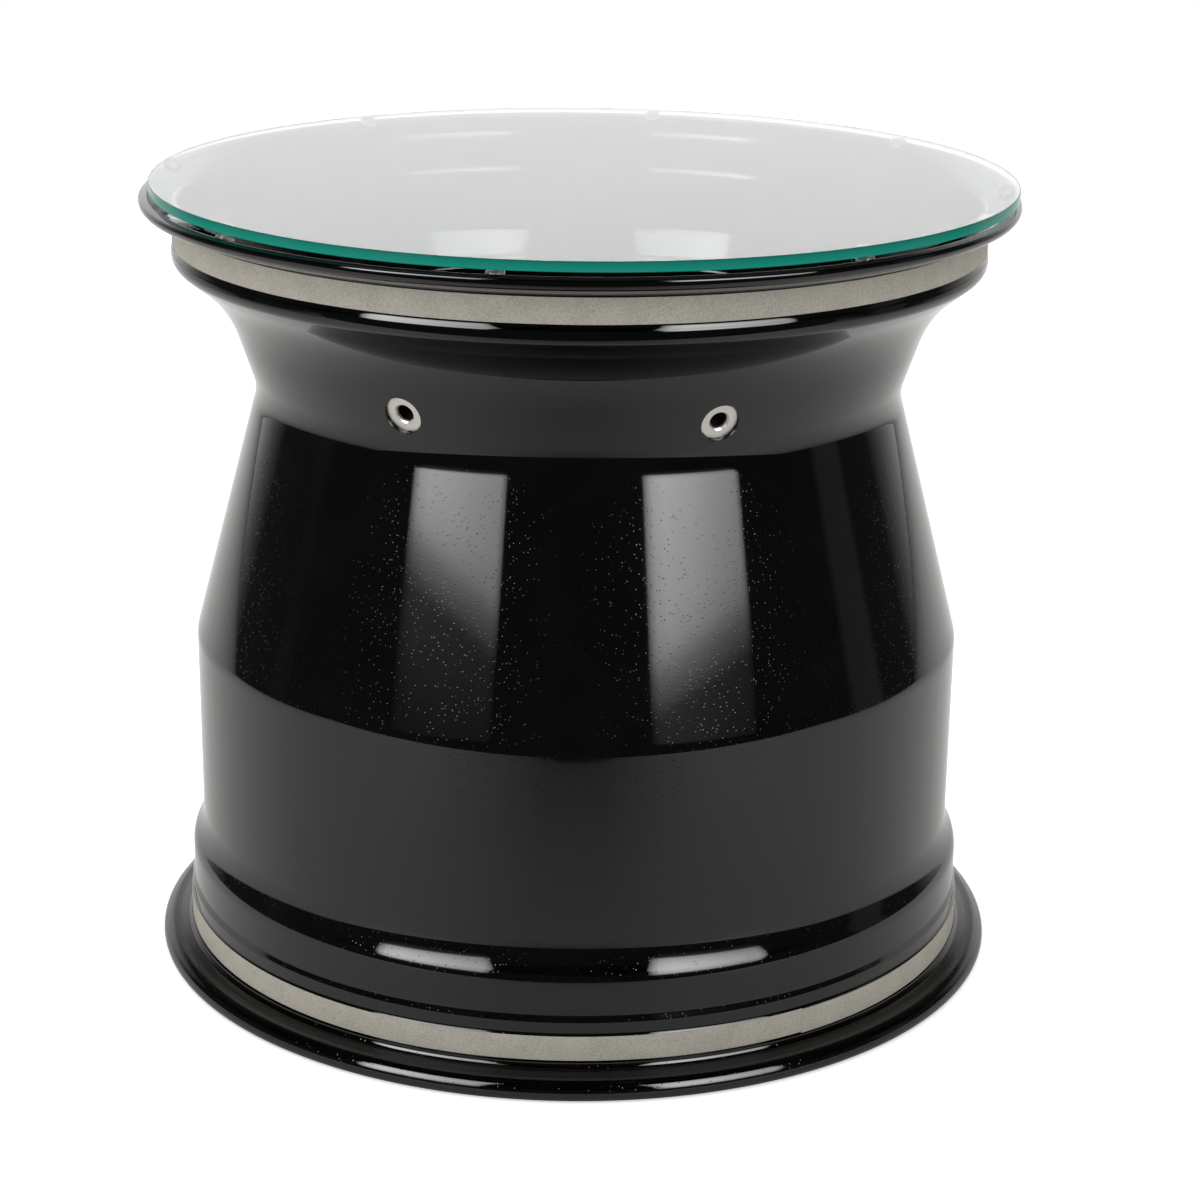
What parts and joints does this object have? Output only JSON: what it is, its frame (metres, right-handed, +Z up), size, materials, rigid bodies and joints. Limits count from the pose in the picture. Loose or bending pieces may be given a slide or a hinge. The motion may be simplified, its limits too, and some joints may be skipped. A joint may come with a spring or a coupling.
{
  "type": "side table",
  "caption": "Round side table made from a waisted racing wheel rim standing on its flange, with grit bands on its bead seats and a loose glass top on clear bumper pads.",
  "frame": {"origin": "centre of the flange ring that the table stands on, at floor level", "axes": "+Z up along the wheel's axis, -Y towards the side that the picture shows"},
  "size_m": [0.355, 0.355, 0.3256],
  "materials": {
    "black_alloy": "gloss black paint",
    "steel": "turned",
    "grit": "sandy grit",
    "silicone": "clear",
    "glass": "polished"
  },
  "bodies": {
    "wheel": {"rim_barrel": "black_alloy", "wheel_centre": "black_alloy", "nut_seat_ring": "steel", "drive_bush_1": "steel", "drive_bush_2": "steel", "drive_bush_3": "steel", "drive_bush_4": "steel", "drive_bush_5": "steel", "drive_bush_6": "steel", "drive_bush_7": "steel", "upper_grip_band": "grit", "lower_grip_band": "grit", "bumper_pad_1": "silicone", "bumper_pad_2": "silicone", "bumper_pad_3": "silicone", "bumper_pad_4": "silicone", "bumper_pad_5": "silicone", "bumper_pad_6": "silicone", "bumper_pad_7": "silicone", "bumper_pad_8": "silicone"},
    "glass": {"glass_top": "glass"}
  },
  "joints": [
    {"name": "glass_lift", "type": "slide", "parent": "wheel", "child": "glass", "axis": [0, 0, 1], "range_m": [0, 0.15]}
  ]
}
